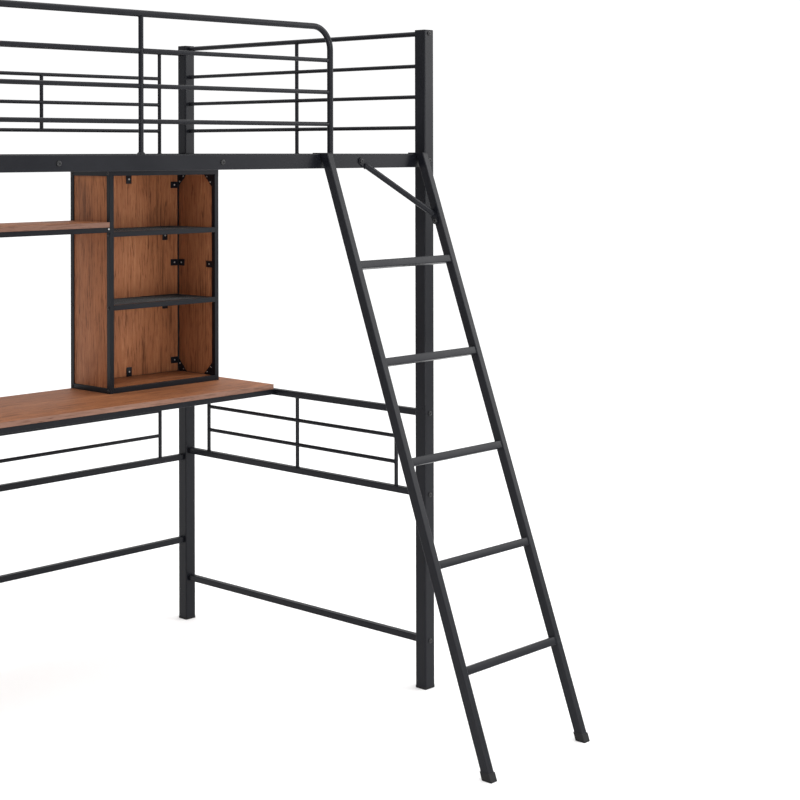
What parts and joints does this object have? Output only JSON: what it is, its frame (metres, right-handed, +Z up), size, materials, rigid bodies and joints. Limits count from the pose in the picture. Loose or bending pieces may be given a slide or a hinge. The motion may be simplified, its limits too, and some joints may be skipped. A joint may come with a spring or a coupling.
{
  "type": "loft bed with desk",
  "caption": "Tall square-tube steel loft bed with a leaning ladder and guard rails, over a wood desk with a bookcase and a shelf.",
  "frame": {"origin": "on the floor, below the middle of the whole footprint with the ladder's feet counted", "axes": "+X along the bed towards the ladder end, +Y towards the side with the desk and bookcase, +Z up"},
  "size_m": [2.0236, 1.631, 1.816],
  "materials": {
    "steel": "satin near-black powder coat on welded steel tube",
    "wood_board": "warm brown wood-grain laminate, grain along the board, satin",
    "wood_panel": "warm brown wood-grain laminate, grain upright, satin",
    "black_plastic": "matt black moulded plastic",
    "bolt_black": "black oxide button heads",
    "zinc_steel": "zinc plated threaded plugs inside the tube ends",
    "steel_mesh": "fine black wire mesh"
  },
  "bodies": {
    "root": {"bookcase_board_bottom": "wood_board", "bookcase_board_top": "wood_board", "bookcase_bolts": "bolt_black", "bookcase_clips": "steel", "bookcase_end_bars": "steel", "bookcase_frame_left": "steel", "bookcase_frame_right": "steel", "bookcase_gussets": "steel", "bookcase_mesh_shelves": "steel_mesh", "bookcase_panel_back": "wood_panel", "bookcase_panel_left": "wood_panel", "bookcase_panel_right": "wood_panel", "bookcase_shelf_bars": "steel", "deck_cross_bars": "steel", "deck_end_rail_left": "steel", "deck_end_rail_right": "steel", "deck_slats": "steel", "desk_board_left": "wood_board", "desk_board_right": "wood_board", "desk_frame": "steel", "end_panel_rails_left": "steel", "end_panel_rails_right": "steel", "end_panel_rods_left": "steel", "end_panel_rods_right": "steel", "guard_foot_collar": "steel", "guard_hoop_front": "steel", "guard_rods_front": "steel", "guard_rods_left": "steel", "guard_rods_rear": "steel", "guard_rods_right": "steel", "guard_top_rail_left": "steel", "guard_top_rail_rear": "steel", "guard_top_rail_right": "steel", "ladder_brace": "steel", "ladder_foot_caps": "black_plastic", "ladder_hooks": "steel", "ladder_rail_left": "steel", "ladder_rail_right": "steel", "ladder_rungs": "steel", "post_bolts": "bolt_black", "post_foot_pads": "black_plastic", "post_front_left": "steel", "post_front_right": "steel", "post_rear_left": "steel", "post_rear_right": "steel", "post_top_caps": "black_plastic", "rail_bolts": "bolt_black", "rear_panel_rails": "steel", "rear_panel_rods": "steel", "side_rail_front": "steel", "side_rail_rear": "steel", "slat_sockets": "black_plastic", "stretcher_left": "steel", "stretcher_rear": "steel", "stretcher_right": "steel", "threaded_plugs": "zinc_steel", "wall_shelf_board": "wood_board", "wall_shelf_frame": "steel"}
  },
  "joints": []
}
